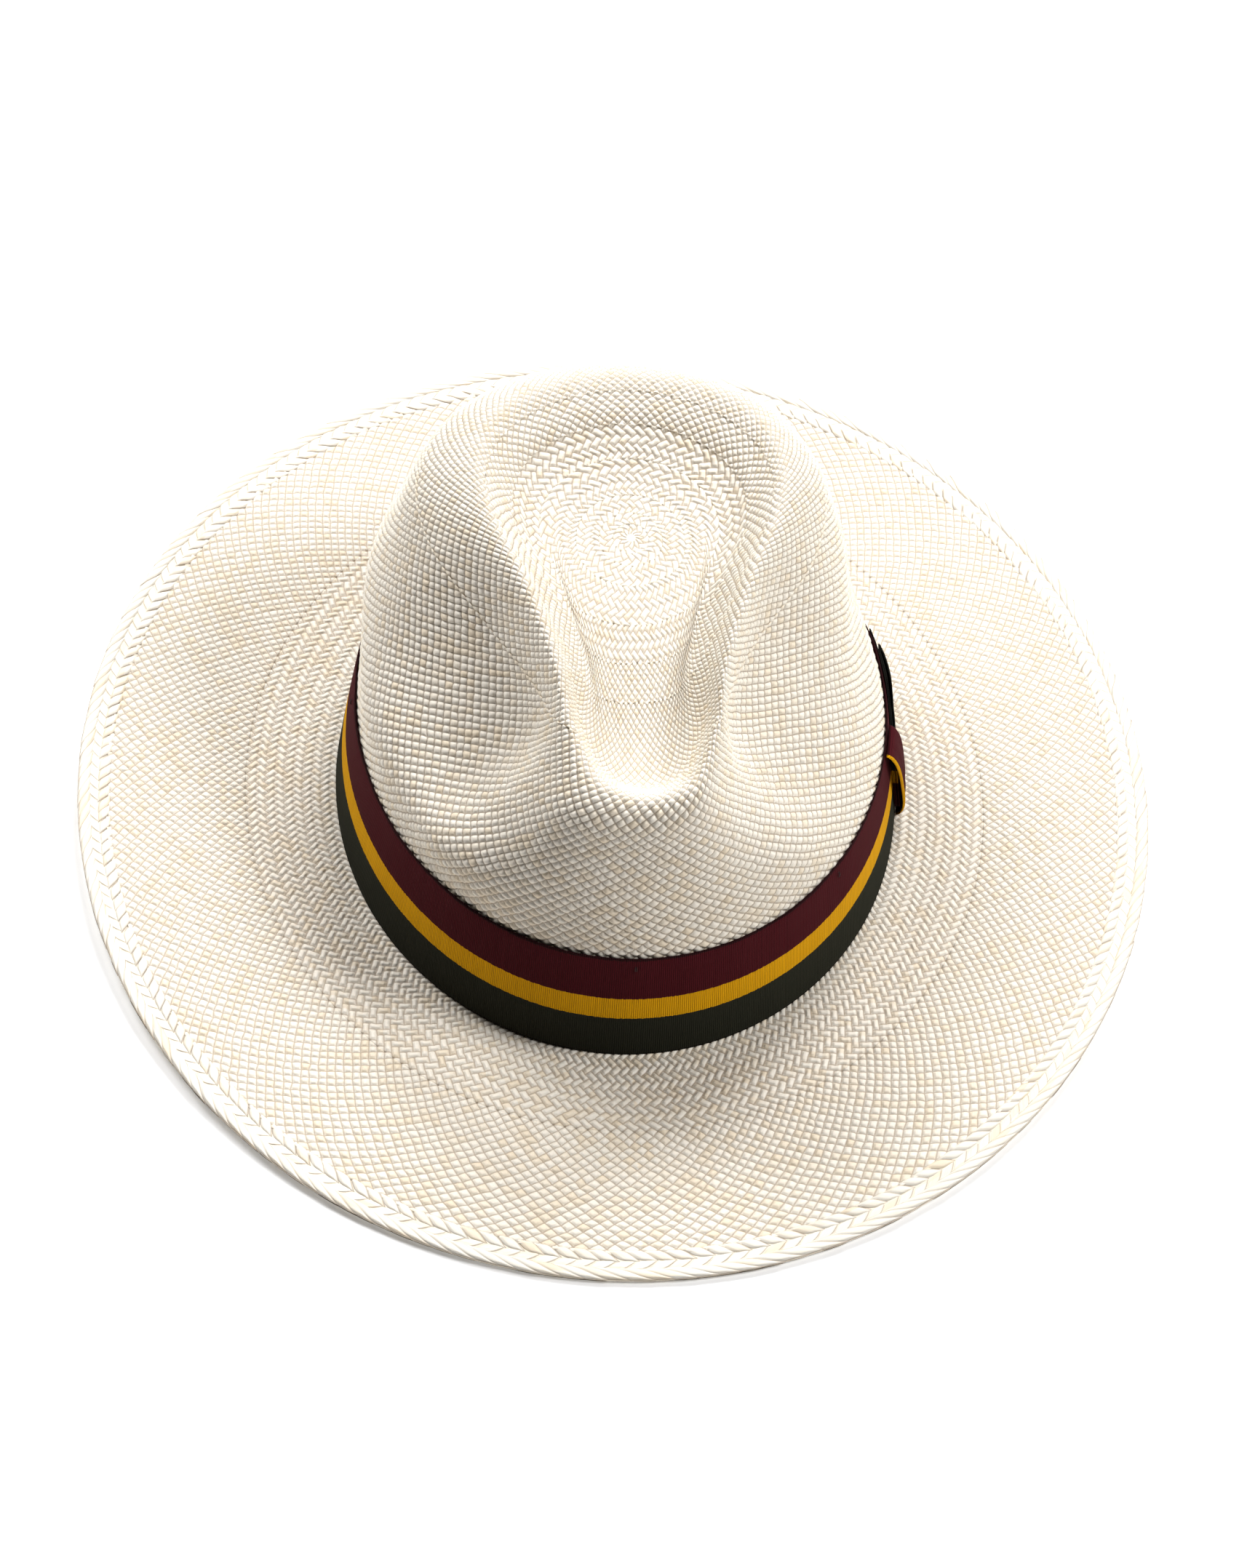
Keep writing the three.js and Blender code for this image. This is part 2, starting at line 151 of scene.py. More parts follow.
class Sheet:
    """A smooth sheet: rows of points down it, ROUND columns round it, and its outward normals."""

    def __init__(self, rows):
        self.rows = rows
        down = np.gradient(rows, axis=0)
        across = np.roll(rows, -1, 1) - np.roll(rows, 1, 1)
        n = np.cross(down, across)
        self.normals = n / np.maximum(np.linalg.norm(n, axis=2, keepdims=True), 1e-9)

    def at(self, u, s):
        """Points and normals at u, the fraction round, and s, the fraction down."""
        a0, a1, fa = columns(u)
        b = np.clip(s, 0, 1) * (len(self.rows) - 1)
        b0 = np.minimum(np.floor(b).astype(int), len(self.rows) - 2)
        fb = (b - b0)[..., None]
        out = []
        for grid in (self.rows, self.normals):
            out.append((grid[b0, a0] * (1 - fa) + grid[b0, a1] * fa) * (1 - fb)
                       + (grid[b0 + 1, a0] * (1 - fa) + grid[b0 + 1, a1] * fa) * fb)
        out[1] /= np.maximum(np.linalg.norm(out[1], axis=-1, keepdims=True), 1e-9)
        return out


def crown_sheet():
    """From the rosette out and down to a level just under the ribbon's top edge."""
    tip = np.tile(np.array(ROSETTE, float) + (0, 0, STRAW), (ROUND, 1))
    net = np.stack([np.roll(RINGS[0], ROUND // 2, 0), tip, *RINGS])
    fine = catmull(net, np.linspace(1, len(net) - 1, 900))
    rows = np.empty((481, ROUND, 3))
    for a in range(ROUND):
        line = fine[:, a]
        below = np.argmax((line[:, 2] < SKIRT + STRAW) & (np.arange(len(line)) > 300))
        rows[:, a] = evenly(line[:below + 1], len(rows))
    return Sheet(rows)


CROWN = crown_sheet()
CROWN_LONG = float(np.linalg.norm(np.diff(CROWN.rows, axis=0), axis=2).sum(0).mean())


def wall(u, z, out=0.0):
    """Points on the crown's outer wall at height z above the brim, out millimetres outwards."""
    u, z, out = np.broadcast_arrays(*(np.asarray(v, float) for v in (u, z, out)))
    heights = np.array([high for _, high in BLOCK[-4:]][::-1])
    a0, a1, fa = columns(u)
    levels = np.stack([grid[a0] * (1 - fa) + grid[a1] * fa for grid in RINGS[-4:][::-1]])
    n = PLAN[a0] * (1 - fa) + PLAN[a1] * fa
    index = np.clip(np.searchsorted(heights, z, side="right") - 1, 0, len(heights) - 2)
    f = ((z - heights[index]) / (heights[index + 1] - heights[index]))[..., None]
    lower, upper = (np.take_along_axis(levels, index[None, ..., None] + k, 0)[0] for k in (0, 1))
    return lower * (1 - f) + upper * f + n * out[..., None]


def brim(u, d, above=0.0):
    """Points over the brim's underside, d millimetres out from the foot, above it by above."""
    u, d, above = np.broadcast_arrays(*(np.asarray(v, float) for v in (u, d, above)))
    a0, a1, fa = columns(u)
    p = FOOT[a0] * (1 - fa) + FOOT[a1] * fa + (PLAN[a0] * (1 - fa) + PLAN[a1] * fa) * d[..., None]
    p[..., 1] -= FOOT_Y * d / BRIM_WIDE
    t = np.arctan2(p[..., 1] / (FOOT_B + BRIM_WIDE), p[..., 0] / (FOOT_A + BRIM_WIDE))
    edge = EDGE_LIFT + EDGE_LIFT_BACK * np.sin(t) + EDGE_LIFT_SIDES * np.cos(2 * t)
    run = np.clip((d - BRIM_FLAT) / (BRIM_WIDE - BRIM_FLAT), 0, 2)
    p[..., 2] = edge * run**1.4 + above
    return p


# ---- meshes ------------------------------------------------------------------------------------
class Mesh:
    """Collects vertices and faces, with two texture maps: strand and float."""

    def __init__(self):
        self.points, self.count = [], 0
        self.faces = []            # (corners, maps): arrays of n x 3 or n x 4, and n x same x 4

    def add(self, points):
        points = np.asarray(points, float).reshape(-1, 3)
        self.points.append(points)
        self.count += len(points)
        return np.arange(self.count - len(points), self.count)

    def face(self, corners, maps=None):
        corners = np.asarray(corners, int)
        if len(corners) == 0:
            return
        if maps is None:
            maps = np.zeros(corners.shape + (4,)) + 0.5
        self.faces.append((corners, np.asarray(maps, float)))

    def build(self, name):
        mesh = bpy.data.meshes.new(name)
        points = np.concatenate(self.points) * 0.001
        loops = np.concatenate([c.reshape(-1) for c, _ in self.faces])
        sizes = np.concatenate([np.full(len(c), c.shape[1]) for c, _ in self.faces])
        mesh.vertices.add(len(points))
        mesh.vertices.foreach_set("co", points.reshape(-1).astype(np.float32))
        mesh.loops.add(len(loops))
        mesh.loops.foreach_set("vertex_index", loops.astype(np.int32))
        mesh.polygons.add(len(sizes))
        starts = np.concatenate([[0], np.cumsum(sizes)[:-1]])
        mesh.polygons.foreach_set("loop_start", starts.astype(np.int32))
        mesh.polygons.foreach_set("use_smooth", np.full(len(sizes), True))
        mesh.update(calc_edges=True)
        both = np.concatenate([m.reshape(-1, 4) for _, m in self.faces])
        for layer, part in (("strand", both[:, :2]), ("float", both[:, 2:])):
            uv = mesh.uv_layers.new(name=layer)
            uv.data.foreach_set("uv", part.astype(np.float32).reshape(-1))
        mesh.validate()
        obj = bpy.data.objects.new(name, mesh)
        bpy.context.scene.collection.objects.link(obj)
        return obj


def grid_faces(rows, flip=False, closed=True):
    """Quads of a grid of vertex numbers, rows by columns, wound outwards when u runs with columns."""
    rows = np.asarray(rows)
    nxt = np.roll(rows, -1, 1)
    a, b, c, d = rows[:-1], rows[1:], nxt[1:], nxt[:-1]
    if not closed:
        a, b, c, d = (q[:, :-1] for q in (a, b, c, d))
    quads = np.stack([a, b, c, d], -1).reshape(-1, 4)
    return quads[:, ::-1] if flip else quads


def zip_rings(inner, outer, flip=False):
    """Triangles between two closed rings of vertex numbers whose counts differ, both from u = 0."""
    i = j = 0
    tris = []
    while i < len(inner) or j < len(outer):
        if j >= len(outer) or (i < len(inner) and (i + 1) / len(inner) <= (j + 1) / len(outer)):
            tris.append((inner[i % len(inner)], outer[j % len(outer)], inner[(i + 1) % len(inner)]))
            i += 1
        else:
            tris.append((inner[i % len(inner)], outer[j % len(outer)], outer[(j + 1) % len(outer)]))
            j += 1
    tris = np.array(tris)
    return tris[:, ::-1] if flip else tris


# ---- the weave ---------------------------------------------------------------------------------
def weave(mesh, place, strands, start, end, rings, twill=False, fine=3, under=False, seed=1,
          relief=RELIEF, first=0):
    """Two sets of strands crossing at a slant between two levels of a sheet.

    place(u, s, lift) gives the points. A crossing (i, j) lies on ring i - j. In plain weave the upper
    strand changes at each ring, and in herringbone at every second one. Returns the edge rings."""
    rng = np.random.default_rng(seed)
    cols, deep = strands * fine, rings * fine
    d = np.arange(deep + 1)[:, None]
    k = np.arange(cols)[None, :]
    a, b = k + (d + d % 2) // 2, k - (d - d % 2) // 2

    def upper(m):
        return (m // 2) % 2 == 0 if twill else m % 2 == 0

    i, j = a // fine, b // fine
    m = i - j
    on_a, on_b = a % fine == 0, b % fine == 0
    high = np.clip(rng.normal(1.0, 0.09, (strands, rings + 4)), 0.75, 1.2)
    lift = high[i % strands, np.clip(m + 1, 0, rings + 3)]
    here, left, right = upper(m + first), upper(m - 1 + first), upper(m + 1 + first)
    valley_a = np.where(here != left, 0.3, np.where(here, 0.42, 1.0))
    valley_b = np.where(here != right, 0.3, np.where(here, 1.0, 0.42))
    lift = np.where(on_a, valley_a, np.where(on_b, valley_b, lift))
    lift = np.where(on_a & on_b, 0.0, lift)

    # the strands wander a little
    sway = rng.normal(0, 0.055, (2, strands, rings + 4))
    fa, fb = (a % fine) / fine, (b % fine) / fine
    shift = []
    for table in sway:
        def corner(p, q):
            return table[p % strands, np.clip(p - q + 1, 0, rings + 3)]
        shift.append((corner(i, j) * (1 - fa) + corner(i + 1, j) * fa) * (1 - fb)
                     + (corner(i, j + 1) * (1 - fa) + corner(i + 1, j + 1) * fa) * fb)
    calm = np.clip(np.minimum(d, deep - d) / fine, 0, 1)
    ai, bj = a / fine + shift[0] * calm, b / fine + shift[1] * calm
    u = (ai + bj) / (2 * strands)
    s = start + (end - start) * (ai - bj) / rings
    verts = mesh.add(place(u, s, relief * (lift - 0.6))).reshape(deep + 1, cols)

    # quads on the slant, each inside one crossing
    base = d[1:-1]
    shifted = (k + base % 2) % cols
    here_v, next_v = verts[1:-1], np.roll(verts[1:-1], -1, 1)
    top = np.take_along_axis(verts[2:], shifted, 1)
    low = np.take_along_axis(verts[:-2], shifted, 1)
    quads = np.stack([here_v, low, next_v, top], -1).reshape(-1, 4)
    qa = np.stack([a[1:-1], a[1:-1], a[1:-1] + 1, a[1:-1] + 1], -1).reshape(-1, 4)
    qb = np.stack([b[1:-1], b[1:-1] + 1, b[1:-1] + 1, b[1:-1]], -1).reshape(-1, 4)
    start_t = np.stack([verts[0], np.roll(verts[0], -1), verts[1]], -1)
    sa = np.stack([a[0], a[0] + 1, a[0] + 1], -1)
    sb = np.stack([b[0], b[0] + 1, b[0]], -1)
    turn = (k[0] + deep % 2) % cols
    end_t = np.stack([verts[-1], verts[-2][turn], np.roll(verts[-1], -1)], -1)
    ea = np.stack([a[-1], a[-1], a[-1] + 1], -1)
    eb = np.stack([b[-1], b[-1] + 1, b[-1] + 1], -1)

    for corners, ca, cb in ((quads, qa, qb), (start_t, sa, sb), (end_t, ea, eb)):
        ci, cj = ca[:, :1] // fine, np.minimum(cb[:, :1], cb.min(1, keepdims=True)) // fine
        ring_no = ci - cj + first
        along_a, along_b = ca / fine, cb / fine
        up = upper(ring_no)
        across = np.where(up, along_a - ci, along_b - cj)
        if twill:
            base_m = ring_no - ring_no % 2
            part = np.where(up, (along_b - (ci + first - base_m - 1)) / 2,
                            (along_a - (cj + base_m - first)) / 2)
        else:
            part = np.where(up, along_b - cj, along_a - ci)
        strand = np.where(up, ci % strands, cj % strands + 400) + np.clip(across, 0.001, 0.999)
        length = np.where(up, along_b, along_a)
        maps = np.stack([strand, length, np.clip(across, 0, 1), np.clip(part, 0, 1)], -1)
        if not under:
            corners, maps = corners[:, ::-1], maps[:, ::-1]
        mesh.face(corners, maps)
    return verts[0], verts[-1]


def crown_place(side):
    """side 0 is the outer face and 1 the inner one."""
    def place(u, s, lift):
        p, n = CROWN.at(u, s)
        return p + n * ((lift - 0.15) if side == 0 else (-STRAW + 0.15 - lift))[..., None]
    return place


def woven_crown():
    """Two closed pieces that meet at the crest: the tip with its dent, and the wall."""
    # strands, from and to (millimetres from the hub), rings, and height of a strand's crown
    bands = [(12, 1.4, 5.4, 3, 0.15), (20, 5.4, 9.6, 3, 0.22), (34, 9.6, 16.6, 5, 0.3),
             (58, 16.6, 29.2, 9, 0.36), (92, 29.2, 40.4, 8, 0.42), (112, 40.4, 51.6, 8, 0.5),
             (WALL_STRANDS, 51.6, TIP_END, 19, 0.62)]
    long = CROWN_LONG
    tip = Mesh()
    edges = []
    for side in (0, 1):
        place = crown_place(side)
        last = None
        for n, (strands, a, b, rings, relief) in enumerate(bands):
            first, end = weave(tip, place, strands, a / long, b / long, rings, twill=n < 5,
                               relief=relief, fine=3 - side, under=side == 1, seed=10 + n, first=n * 2)
            if last is None:
                hub = tip.add(place(np.zeros(1), np.zeros(1), np.zeros(1)))
                spokes = np.stack([np.full(len(first), hub[0]), first, np.roll(first, -1)], -1)
                tip.face(spokes[:, ::-1] if side else spokes)
            else:
                tip.face(zip_rings(last, first, flip=side == 1))
            last = end
        edges.append(last)
    tip.face(zip_rings(edges[0], edges[1]))
    crown_tip = tip.build("crown_tip")

    body = Mesh()
    ends = []
    rings = int(round((long - TIP_END) / 1.4))
    for side in (0, 1):
        ends.append(weave(body, crown_place(side), WALL_STRANDS, TIP_END / long, 1.0, rings,
                          fine=3 - side, under=side == 1, seed=30))
    u = np.arange(WALL_STRANDS * 3) / (WALL_STRANDS * 3)
    low = [body.add(wall(u, z, -0.1)) for z in (28, 14, 0.4, -STRAW)]
    body.face(grid_faces([ends[0][1], *low]))
    u = np.arange(WALL_STRANDS * 2) / (WALL_STRANDS * 2)
    inside = [body.add(wall(u, z, -STRAW)) for z in (28, 14, 0.4, -STRAW)]
    body.face(grid_faces([ends[1][1], *inside], flip=True))
    body.face(zip_rings(low[-1], inside[-1]))
    body.face(zip_rings(ends[0][0], ends[1][0], flip=True))
    return crown_tip, body.build("crown_wall")


def woven_brim():
    """The herringbone part next to the crown, and the plain part out to the plait."""
    pieces = []
    under_braid = BRIM_WIDE - BRAID_WIDE + 1.2
    for name, start, end, rings, twill in (("brim_inner", GAP, TWILL_END, 20, True),
                                           ("brim_outer", TWILL_END, under_braid, 25, False)):
        mesh = Mesh()
        tops = weave(mesh, lambda u, d, lift: brim(u, d, STRAW - 0.15 + lift), BRIM_STRANDS, start, end,
                     rings, twill, seed=50 + rings, relief=FLAT_RELIEF)
        lows = weave(mesh, lambda u, d, lift: brim(u, d, 0.2 - lift), BRIM_STRANDS, start, end, rings,
                     twill, fine=2, under=True, seed=60 + rings)
        mesh.face(zip_rings(tops[0], lows[0], flip=True))
        mesh.face(zip_rings(tops[1], lows[1]))
        pieces.append(mesh.build(name))
    return pieces


crown_tip, crown_wall = woven_crown()
brim_inner, brim_outer = woven_brim()


# ---- the plaited edge ----------------------------------------------------------------------------
def plait_row(mesh, count, d_from, d_to, slant, wide, high, seed, top=True):
    """Overlapping flat straws that cross the border on a slant, each tucked under the next."""
    rng = np.random.default_rng(seed)
    around = np.linspace(-0.5, 0.5, 5)
    over = np.linspace(0, 1, 7)
    each = np.arange(count)[:, None, None]
    wob = rng.normal(0, 0.035, (count, 1, 1))
    w, t = around[None, None, :], over[None, :, None]
    ease = t - np.sin(2 * math.pi * t) / (2 * math.pi) * 0.45
    u = (each + wob + slant * (t - 0.5) + wide * w * (0.86 + 0.14 * np.sin(math.pi * t))) / count
    d = d_from + (d_to - d_from) * ease + 0 * w + rng.normal(0, 0.08, (count, 1, 1))
    tuck = 0.5 - 0.5 * np.cos(math.pi * t)
    arch = np.sin(math.pi * np.clip(t, 0.0, 1)) ** 0.6
    crown = 1 - (2 * np.abs(w)) ** 2.6
    z = high * (0.35 + 0.65 * arch) * (0.62 + 0.38 * crown) + 0.22 * (w + 0.5) * (1 - tuck * 0.3)
    z = z + rng.normal(0, 0.03, (count, 1, 1))
    base = BRAID_THICK / 2 - 0.35
    grid = mesh.add(brim(u, d, base + z if top else base - z * 0.95)).reshape(count, len(over), len(around))
    strand = rng.integers(0, 300, (count, 1, 1)) + np.clip(w + 0.5, 0.001, 0.999) + 0 * t
    span = 2.2 * t + 0 * w + rng.random((count, 1, 1)) * 40
    maps = np.stack([strand, span, w + 0.5 + 0 * t + 0 * each, t + 0 * w + 0 * each], -1)
    quads, uv = (np.stack([g[:, :-1, :-1], g[:, 1:, :-1], g[:, 1:, 1:], g[:, :-1, 1:]], axis).reshape(shape)
                 for g, axis, shape in ((grid, -1, (-1, 4)), (maps, -2, (-1, 4, 4))))
    if not top:
        quads, uv = quads[:, ::-1], uv[:, ::-1]
    mesh.face(quads, uv)


def edge_braid():
    mesh = Mesh()
    start = BRIM_WIDE - BRAID_WIDE
    u = np.arange(ROUND) / ROUND
    core = [(0.2, 0.5), (0.5, 1.3), (3.0, 1.4), (6.0, 1.3), (8.6, 1.3), (9.4, 1.0),
            (9.4, 0.6), (8.6, 0.45), (6.0, 0.35), (3.0, 0.3), (0.5, 0.4)]
    rows = [mesh.add(brim(u, start + d, z)) for d, z in core]
    mesh.face(grid_faces(rows + rows[:1]))
    for top in (True, False):
        plait_row(mesh, 226, start - 0.2, start + 3.7, 1.15, 1.04, 1.0, 5, top)
        plait_row(mesh, 226, start + 6.1, start + 3.0, 1.05, 1.0, 0.72, 6, top)
        plait_row(mesh, 200, start + 5.6, start + 9.5, 2.0, 1.3, 1.0, 7, top)
    return mesh.build("plaited_edge")


plaited_edge = edge_braid()


# ---- the ribbon, its bow and the sweatband ----------------------------------------------------------
def strip(name, rows_out, rows_in, cloth, closed=False):
    """A thin strip between two grids of points. cloth is its map: millimetres along and across."""
    mesh = Mesh()
    n, m = rows_out.shape[:2]
    front = mesh.add(rows_out).reshape(n, m)
    back = mesh.add(rows_in).reshape(n, m)

    def corners(grid, flip):
        cut = (lambda g: g) if closed else (lambda g: g[:, :-1])
        a, b = cut(grid[:-1]), cut(grid[1:])
        c, d = cut(np.roll(grid, -1, 1)[1:]), cut(np.roll(grid, -1, 1)[:-1])
        ca, cb = cut(cloth[:-1, :m]), cut(cloth[1:, :m])
        cc, cd = cloth[1:, 1:], cloth[:-1, 1:]
        quads = np.stack([a, b, c, d], -1).reshape(-1, 4)
        uv = np.stack([ca, cb, cc, cd], -2).reshape(-1, 4, 2)
        uv = np.concatenate([uv, uv], -1)
        mesh.face(quads[:, ::-1] if flip else quads, uv[:, ::-1] if flip else uv)

    def rim(a, b, line):
        quads = np.stack([a, b, np.roll(b, -1), np.roll(a, -1)], -1)
        uv = np.stack([line[:-1], line[:-1], line[1:], line[1:]], -2)
        mesh.face(quads if closed else quads[:-1], np.concatenate([uv, uv], -1))

    corners(front, False)
    corners(back, True)
    rim(back[0], front[0], cloth[0])
    rim(front[-1], back[-1], cloth[-1])
    if not closed:
        rim(front[:, 0], back[:, 0], cloth[:, 0])
        rim(back[:, -1], front[:, -1], cloth[:, -1])
    return mesh.build(name)


BAND_ROUND = float(np.linalg.norm(np.roll(FOOT, -1, 0) - FOOT, axis=1).sum())


def hatband():
    """One ribbon sewn into a ring; its edges pucker a little and it bellies between them."""
    cols = 720
    u = np.arange(cols) / cols
    h = np.concatenate([[1, 0.992, 0.965], np.linspace(0.92, 0.08, 15), [0.035, 0.008, 0]])
    z = 0.35 + (RIBBON_HIGH - 0.35) * h
    rng = np.random.default_rng(3)
    wave = sum(rng.normal(0, 0.16 / (1 + k * 0.06)) * np.sin(2 * math.pi * (u * k + rng.random()))
               for k in range(3, 40))
    wave = wave[None, :] * (h[:, None] ** 3)
    belly = 0.25 * np.sin(math.pi * np.clip(h, 0, 1)) ** 0.5
    lift = 0.12 + np.clip(wave * 0.35, -0.2, 0.45) + belly[:, None]
    edge = np.where((h > 0.99) | (h < 0.01), 0.22, 0.0)[:, None]
    zz = z[:, None] + wave * 0.22
    uu = np.broadcast_to(u, zz.shape)
    out = wall(uu, zz, GAP + RIBBON_THICK - 0.12 + lift - edge * 0.5)
    inn = wall(uu, zz, GAP + lift * 0.6 + edge * 0.3)
    across = (1 - h) * RIBBON_WIDE
    around = np.arange(cols + 1) / cols * BAND_ROUND
    cloth = np.stack(np.broadcast_arrays(around[None, :], across[:, None]), -1)
    return strip("ribbon_band", out, inn, cloth, closed=True)


ribbon_band = hatband()
BAND_FACE = GAP + RIBBON_THICK
MIDDLE = RIBBON_HIGH / 2


def fold(name, path, thick, cloth_of, rows=21):
    """A length of ribbon along path, rows of (round, out, half height, distance along it)."""
    path = np.array(path, float)
    run = np.linspace(0, len(path) - 1, (len(path) - 1) * 5 + 1)
    fine = catmull(path, run)
    h = np.linspace(1, -1, rows)[:, None]
    u, out, tall, along_ = (fine[None, :, k] for k in range(4))
    centre = wall(u + 0 * h, MIDDLE + h * tall, BAND_FACE + out + 0 * h)
    step = np.gradient(centre, axis=1)
    rise = np.gradient(centre, axis=0)
    n = np.cross(rise, step)
    n /= np.maximum(np.linalg.norm(n, axis=2, keepdims=True), 1e-9)
    across = (1 - h) / 2 * RIBBON_WIDE + 0 * u
    cloth = cloth_of(along_ + 0 * h, across)
    return strip(name, centre - n * thick / 2, centre + n * thick / 2, cloth)


def bow():
    def flipped(along_, across):
        return np.stack([along_, RIBBON_WIDE - across], -1)

    # tail: one flat layer next to the band, green edge up
    stations = np.linspace(KNOT_AT - 0.004, TAIL_END, 9)
    tail = [(r, GAP + 0.22, 13.5 + 5.7 * min(1, max(0, k - 1) / 3), k * 5.5)
            for k, r in enumerate(stations)]
    bow_tail = fold("ribbon_bow_tail", tail, 0.42, flipped)

    near, thick = 0.86, 0.42
    t = np.linspace(0, 1, 11)
    clear = np.clip((t - 0.5) / 0.5, 0, 1)
    tall = 13.5 + 5.7 * np.minimum(1, clear * 3)
    at = KNOT_AT - 0.004 + (LOOP_END - KNOT_AT) * t
    bulge = 0.56 + 0.35 * np.sin(math.pi * clear) ** 0.8 + 0.1 * clear
    go = [(at[k], near + thick / 2, tall[k], 3.6 * k) for k in range(11)]
    turn = [(LOOP_END + 0.0022, near + 0.6, tall[-1], 38)]
    back = [(at[k], near + thick + bulge[k], tall[k], 40 + 3.6 * (10 - k)) for k in range(10, -1, -1)]
    bow_loop = fold("ribbon_bow_loop", go + turn + back, thick, flipped)

    # knot: a strip over the band, gathered a little, with its gold stripe along the front edge
    s = np.linspace(0, 1, 49)[:, None]
    w = np.concatenate([[0, 0.012, 0.05], np.linspace(0.10, 0.94, 15), [0.985, 1.0]])[None, :]
    h = 1 - 2 * s
    lift = 2.9 * (1 - h**4) ** 0.6
    gather = 1 - 0.10 * np.sin(math.pi * s) ** 2
    u = KNOT_AT + KNOT_HALF * (2 * w - 1) * gather - h * KNOT_SLANT / 2
    pleat = 0.16 * np.sin(w * math.pi * 5 + 0.6) * np.sin(math.pi * s) ** 0.5
    edge = 0.66 * np.minimum(1, np.minimum(w, 1 - w) / 0.06) ** 0.5
    z = MIDDLE + 0.35 + h * (MIDDLE - 0.1)
    out = wall(u, z + 0 * w, BAND_FACE + GAP + lift + edge + pleat)
    inn = wall(u, z + 0 * w, BAND_FACE + GAP + lift + np.minimum(pleat, 0))
    stripe = np.where(w < 0.10, 18.0, 15.3 * (1 - w)) + 0 * s
    knot = strip("ribbon_bow_knot", out, inn, np.stack([s * 52 + 0 * w, stripe], -1))
    return bow_tail, bow_loop, knot


bow_tail, bow_loop, bow_knot = bow()


LINE = -(STRAW + GAP)          # the sweatband's outer face, from the wall


def sweatband():
    cols = 360
    u = np.arange(cols) / cols
    h = np.concatenate([[1, 0.985], np.linspace(0.95, 0.05, 9), [0.015, 0]])
    z = 1.4 + (SWEAT_TOP - 1.4) * h[:, None] + 0 * u
    uu = np.broadcast_to(u, z.shape)
    soft = 0.25 * np.sin(2 * math.pi * (uu * 9 + 0.2)) * h[:, None]
    edge = np.where((h > 0.99) | (h < 0.01), 0.3, 0.0)[:, None]
    out = wall(uu, z, LINE - 0.1 - edge + np.minimum(0, soft * 0.3))
    inn = wall(uu, z, LINE - LEATHER + edge * 0.4 + np.minimum(0, soft * 0.3))
    around = np.arange(cols + 1) / cols * BAND_ROUND
    cloth = np.stack(np.broadcast_arrays(around[None, :], (1 - h[:, None]) * 33), -1)
    return strip("leather_sweatband", out, inn, cloth, closed=True)


leather_sweatband = sweatband()


def cord_ring(name, z, out, radius, sides=10, cols=480):
    """A thin cord round the wall."""
    mesh = Mesh()
    u = np.arange(cols) / cols
    p = wall(u, z, out)
    n = wall(u, z, out + 1.0) - p
    rows = []
    for k in range(sides):
        t = math.pi / 2 - 2 * math.pi * (k + 0.5) / sides
        rows.append(mesh.add(p + n * (radius * math.cos(t)) + np.array([0, 0, radius * math.sin(t)])))
    mesh.face(grid_faces(rows + rows[:1]))
    return mesh.build(name)


reed = cord_ring("piping", -0.2, LINE - REED_R - 0.1, REED_R)


def bar(mesh, centre, outwards, sideways, radius, turns):
    """A thin bar along centre, closed at both ends, with one line of points for each of turns."""
    rows = [mesh.add(centre + outwards * (radius * math.cos(t))[:, None]
                     + sideways * (radius * math.sin(t))[:, None]) for t in turns]
    mesh.face(grid_faces(rows + rows[:1], closed=False))
    first, last = ([row[k] for row in rows] for k in (0, -1))
    for k in range(1, len(rows) - 1):
        mesh.face([[first[k + 1], first[k], first[0]]])
        mesh.face([[last[0], last[k], last[k + 1]]])


def stitches(name, count, z, out, radius):
    """Separate short stitches round the sweatband, each a small rounded bar."""
    mesh = Mesh()
    t = np.linspace(0, 1, 6)
    for n in range(count):
        u = (n + 0.18 + 0.64 * t) / count
        sink = 0.45 * (np.abs(2 * t - 1) ** 3)
        centre = wall(u, z + 0.1 * np.sin(n * 1.7), out + sink)
        outwards = wall(u, z, out + 1.0) - wall(u, z, out)
        r = radius * np.sqrt(np.clip(1 - (np.abs(2 * t - 1)) ** 6, 0.1, 1))
        bar(mesh, centre, outwards, np.array([0, 0, 1]), r, np.arange(6)[::-1] / 6 * 2 * math.pi)
    return mesh.build(name)


seam = stitches("sweatband_seam", 190, 4.6, LINE - LEATHER - 0.28, 0.24)


def seam_tape():
    """A short tape laid over the place where the sweatband's two ends meet."""
    h = np.linspace(1, 0, 31)[:, None]
    w = np.concatenate([[0, 0.02, 0.06], np.linspace(0.12, 0.88, 9), [0.94, 0.98, 1]])[None, :]
    u = 0.491 + 0.018 * w + 0.0004 * np.sin(9 * h) * (2 * w - 1)
    z = 5.4 + (SWEAT_TOP - 6.4) * h + 0 * w
    edge = 0.16 * np.maximum(0, 1 - np.minimum(w, 1 - w) / 0.05) + 0 * h
    ripple = 0.08 * np.sin(14 * h + 2 * w)
    near = LINE - LEATHER - GAP + 0.1
    out = wall(u, z, near - edge + ripple)
    inn = wall(u, z, near - 0.5 + edge + ripple)
    return strip("seam_tape", out, inn, np.stack([w * 10.6 + 0 * h, (1 - h) * 26.6 + 0 * w], -1))


